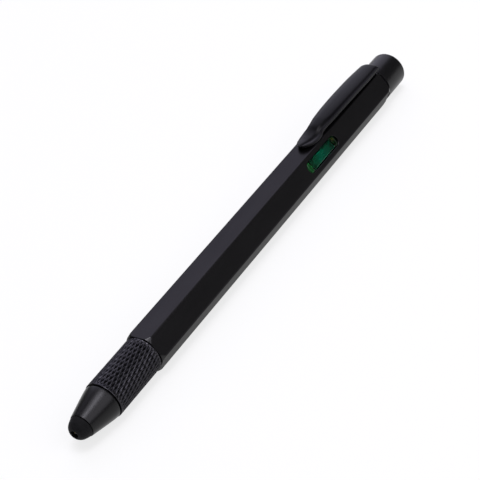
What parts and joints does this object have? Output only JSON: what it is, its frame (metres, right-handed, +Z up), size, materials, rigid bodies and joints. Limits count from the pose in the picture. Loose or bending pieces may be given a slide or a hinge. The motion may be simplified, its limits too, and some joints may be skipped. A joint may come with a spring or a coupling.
{
  "type": "multi tool pen",
  "caption": "Black hexagonal tool pen: twist ballpoint behind a rubber stylus nose, knurled grip, spirit level in one flat, sprung clip and a driver bit under the cap.",
  "frame": {"origin": "centre of the bounding box at its bottom, on the surface that the pen lies on", "axes": "+X along the pen from the stylus nose to the cap, +Z up through the clip, the level's window faces -Y and up"},
  "size_m": [0.1448, 0.0108, 0.012],
  "materials": {
    "black_anodised": "satin black anodised",
    "black_knurl": "satin black anodised, knurled",
    "black_painted_steel": "satin black",
    "black_rubber": "matte",
    "black_plastic": "matte",
    "grey_plastic": "matte",
    "brass": "turned",
    "steel": "bright",
    "clear_plastic": "clear acrylic",
    "green_liquid": "clear liquid",
    "bubble": "air"
  },
  "bodies": {
    "barrel": {"barrel": "black_anodised", "guide_tube": "black_plastic", "vial_saddle": "black_plastic", "vial_tube": "clear_plastic", "vial_plug_lower": "clear_plastic", "vial_plug_upper": "clear_plastic", "vial_liquid": "green_liquid", "bit_socket": "brass", "end_collar": "brass", "clip_root": "black_painted_steel"},
    "grip": {"grip": "black_knurl", "grip_o_ring": "black_rubber", "cam_sleeve": "brass", "cam_ring": "steel"},
    "nose": {"nose_cone": "black_anodised", "stylus_tip": "black_rubber", "nose_bush": "grey_plastic"},
    "refill": {"refill_tube": "steel", "refill_point": "brass", "refill_ball": "steel", "refill_holder": "grey_plastic", "follower_pin": "steel"},
    "cap": {"cap": "black_anodised"},
    "bit": {"driver_bit": "steel"},
    "clip": {"clip_arm": "black_painted_steel"},
    "bubble": {"level_bubble": "bubble"}
  },
  "joints": [
    {"name": "grip_twist", "type": "hinge", "parent": "barrel", "child": "grip", "pos_m": [0, 0, 0.00475], "axis": [1, 0, 0], "range_deg": [0, 180]},
    {"name": "refill_feed", "type": "slide", "parent": "barrel", "child": "refill", "axis": [-1, 0, 0], "range_m": [0, 0.0042]},
    {"name": "nose_unscrew", "type": "slide", "parent": "grip", "child": "nose", "axis": [-1, 0, 0], "range_m": [0, 0.03]},
    {"name": "cap_unscrew", "type": "slide", "parent": "barrel", "child": "cap", "axis": [1, 0, 0], "range_m": [0, 0.05]},
    {"name": "bit_draw", "type": "slide", "parent": "barrel", "child": "bit", "axis": [1, 0, 0], "range_m": [0, 0.0245]},
    {"name": "clip_spring", "type": "hinge", "parent": "barrel", "child": "clip", "pos_m": [0.06296, 0, 0.01005], "axis": [0, 1, 0], "range_deg": [0, 5], "stiffness_Nm_per_rad": 0.6, "springref_deg": -1.15},
    {"name": "bubble_run", "type": "slide", "parent": "barrel", "child": "bubble", "axis": [1, 0, 0], "range_m": [-0.0026, 0.0026]}
  ],
  "couplings": [
    {"joint": "refill_feed", "follows": "grip_twist", "m_per_rad": 0.0013369},
    {"joint": "bit_draw", "follows": "cap_unscrew", "ratio": 0.49}
  ]
}
